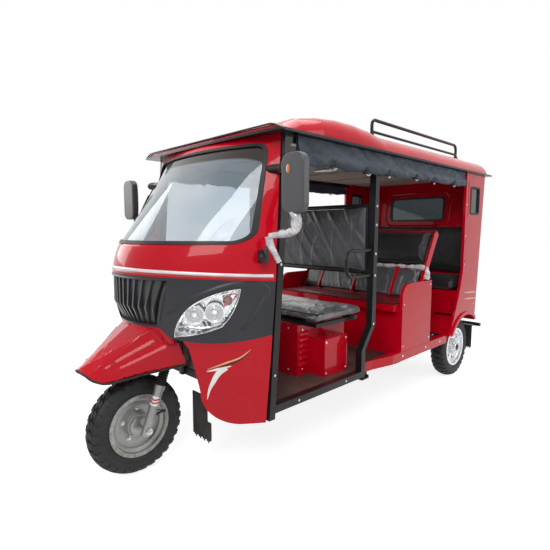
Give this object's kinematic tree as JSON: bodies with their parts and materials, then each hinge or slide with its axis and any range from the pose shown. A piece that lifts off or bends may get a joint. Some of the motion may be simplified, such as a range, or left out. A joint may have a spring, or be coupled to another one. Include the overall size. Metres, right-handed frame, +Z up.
{
  "type": "auto rickshaw",
  "caption": "Red passenger auto rickshaw with a bulged dark nose, sloping windscreen, open sides with rolled curtains, dark bench seats and a black roof rack.",
  "frame": {"origin": "on the ground under the middle of the vehicle's overall box", "axes": "+Z up, +Y towards the tail, +X towards the vehicle's left side; the nose faces -Y"},
  "size_m": [1.708, 3.427, 2.0289],
  "materials": {
    "red_paint": "glossy red enamel",
    "mask_grey": "satin dark grey moulding",
    "black_steel": "satin black enamel",
    "chassis_black": "dusty black primer",
    "clear_glass": "clear safety glass with a tinted top band",
    "lamp_lens": "clear moulded lens over chromed bowls",
    "red_lens": "ribbed red and amber lens",
    "seal_rubber": "extruded black rubber",
    "flap_rubber": "black sheet rubber",
    "tyre_rubber": "blocked road tread",
    "grey_wheel": "silver grey wheel paint",
    "bright_wheel": "bright polished steel",
    "fork_silver": "satin cast alloy and black stanchions",
    "cast_grey": "raw castings",
    "seat_vinyl": "dark grey vinyl, partly under clear wrapping film",
    "tarpaulin": "blue grey coated cloth",
    "lining": "beige ceiling cloth",
    "floor_mat": "brown black ribbed mat",
    "dash_plastic": "grained moulding",
    "mirror_shell": "dark grey moulding"
  },
  "bodies": {
    "body": {"front_cowl": "red_paint", "front_mask": "mask_grey", "grille": "mask_grey", "side_skirt_left": "red_paint", "side_skirt_right": "red_paint", "front_mudguard": "red_paint", "windshield_glass": "clear_glass", "window_seals": "seal_rubber", "rear_windows": "clear_glass", "headlamp_left": "lamp_lens", "headlamp_right": "lamp_lens", "side_lamps": "black_steel", "tail_lamps": "red_lens", "mirror_left": "mirror_shell", "mirror_right": "mirror_shell", "dashboard": "dash_plastic", "roof_shell": "red_paint", "roof_trim": "black_steel", "roof_lining": "lining", "roof_rack": "black_steel", "side_frame_left": "black_steel", "side_frame_right": "black_steel", "grab_handles": "black_steel", "chassis_frame": "chassis_black", "floor_pan": "floor_mat", "rear_sills": "red_paint", "engine_block": "cast_grey", "rear_axle": "cast_grey", "drive_shaft": "cast_grey", "leaf_springs": "chassis_black", "driver_seat_box": "red_paint", "driver_seat_frame": "black_steel", "driver_seat": "seat_vinyl", "driver_backrest_frame": "black_steel", "driver_backrest": "seat_vinyl", "middle_bench": "red_paint", "middle_seat": "seat_vinyl", "middle_backrest_frame": "red_paint", "middle_backrest_low": "seat_vinyl", "middle_backrest_high": "seat_vinyl", "rear_bench_base": "red_paint", "rear_seat": "seat_vinyl", "rear_backrest": "seat_vinyl", "rear_side_left": "red_paint", "rear_side_right": "red_paint", "rear_panel": "red_paint", "rear_bumper": "black_steel", "mud_flaps": "flap_rubber", "curtain_left": "tarpaulin", "curtain_right": "tarpaulin"},
    "steering": {"front_fork": "fork_silver", "handlebar": "black_steel", "instrument_pod": "dash_plastic"},
    "front_wheel": {"front_rim": "grey_wheel", "front_tyre": "tyre_rubber"},
    "rear_left_wheel": {"rear_rim_left": "bright_wheel", "rear_tyre_left": "tyre_rubber"},
    "rear_right_wheel": {"rear_rim_right": "bright_wheel", "rear_tyre_right": "tyre_rubber"}
  },
  "joints": [
    {"name": "steer", "type": "hinge", "parent": "body", "child": "steering", "pos_m": [0, -1.39116, 0.24766], "axis": [0, 0.3584, 0.9336], "range_deg": [-38, 38]},
    {"name": "front_roll", "type": "hinge", "parent": "steering", "child": "front_wheel", "pos_m": [0, -1.4285, 0.262], "axis": [1, 0, 0], "continuous": true},
    {"name": "rear_left_roll", "type": "hinge", "parent": "body", "child": "rear_left_wheel", "pos_m": [0.49, 1.3145, 0.262], "axis": [1, 0, 0], "continuous": true},
    {"name": "rear_right_roll", "type": "hinge", "parent": "body", "child": "rear_right_wheel", "pos_m": [-0.49, 1.3145, 0.262], "axis": [1, 0, 0], "continuous": true}
  ]
}
